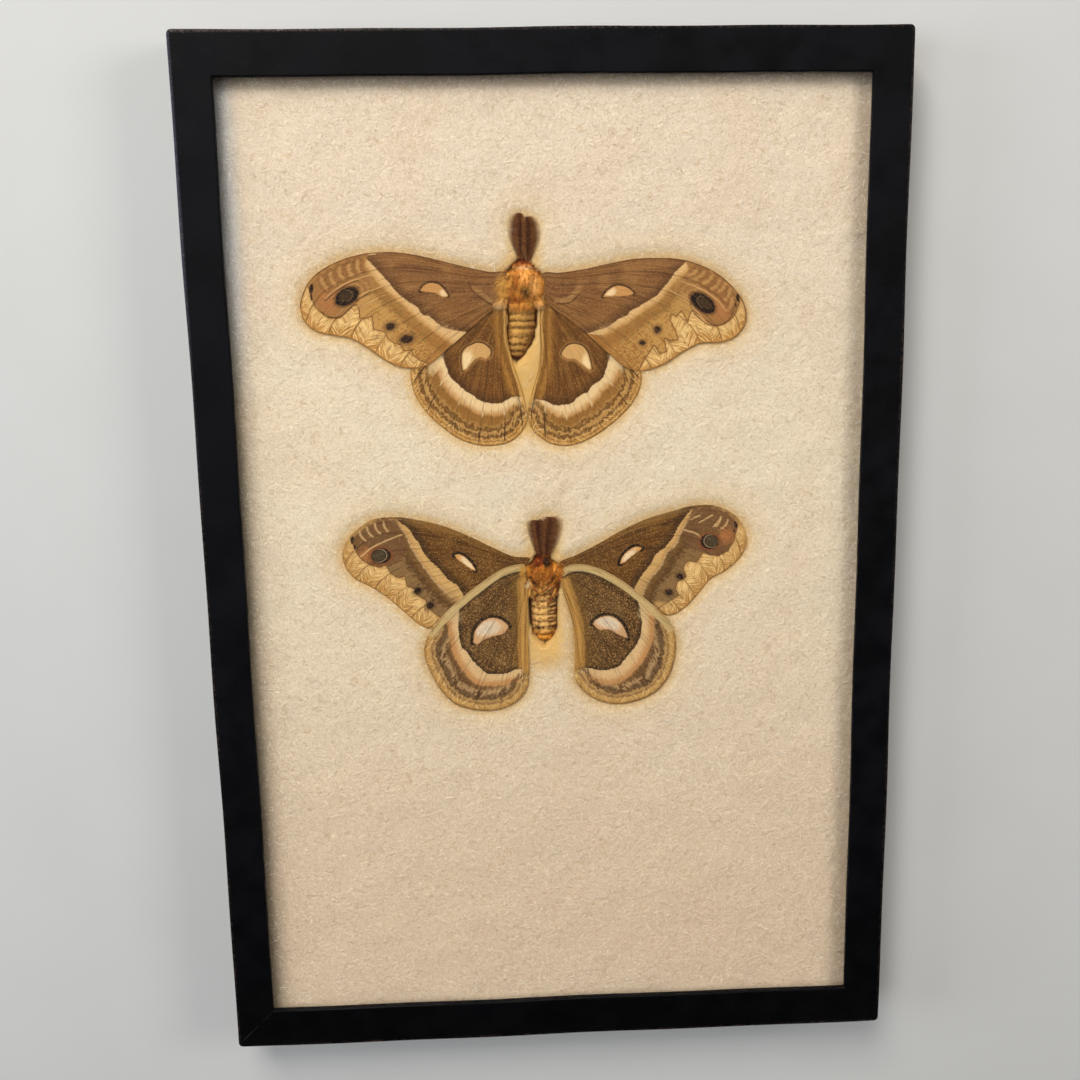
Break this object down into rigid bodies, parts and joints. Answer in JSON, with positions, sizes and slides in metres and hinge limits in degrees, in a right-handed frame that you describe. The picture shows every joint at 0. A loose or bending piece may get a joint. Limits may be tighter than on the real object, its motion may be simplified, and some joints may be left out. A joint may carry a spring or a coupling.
{
  "type": "moth shadow box",
  "caption": "Shallow black display case with a glass lid, holding spread silk moths pressed on cotton batting, lying on its back.",
  "frame": {"origin": "middle of the tray's flat underside, on the surface the case lies on", "axes": "+Z out of the glass, +Y towards the top of the case, +X to the right as seen through the glass"},
  "size_m": [0.2046, 0.3048, 0.0191],
  "materials": {
    "case_paper": "satin black paper with a fine leather grain, over board",
    "pane_glass": "clear",
    "cotton_batting": "matte fibrous cotton, yellowed round the specimens",
    "pin_steel": "plain steel",
    "moth_fur": "orange-tan fur, cream bands on the abdomen",
    "wing_upper_side": "scaled wing, brown with cream bands and golden margins",
    "wing_underside": "scaled wing underside, grey-brown with cream bands and golden margins",
    "antenna_brown": "dark brown feathered"
  },
  "bodies": {
    "root": {"tray": "case_paper", "lid": "case_paper", "glass_pane": "pane_glass", "batting": "cotton_batting", "lid_pin_left_upper": "pin_steel", "lid_pin_left_lower": "pin_steel", "lid_pin_right_upper": "pin_steel", "lid_pin_right_lower": "pin_steel", "upper_moth_body": "moth_fur", "upper_moth_forewing_left": "wing_upper_side", "upper_moth_forewing_right": "wing_upper_side", "upper_moth_hindwing_left": "wing_upper_side", "upper_moth_hindwing_right": "wing_upper_side", "upper_moth_antenna_left": "antenna_brown", "upper_moth_antenna_right": "antenna_brown", "lower_moth_body": "moth_fur", "lower_moth_forewing_left": "wing_underside", "lower_moth_forewing_right": "wing_underside", "lower_moth_hindwing_left": "wing_underside", "lower_moth_hindwing_right": "wing_underside", "lower_moth_antenna_left": "antenna_brown", "lower_moth_antenna_right": "antenna_brown"}
  },
  "joints": []
}
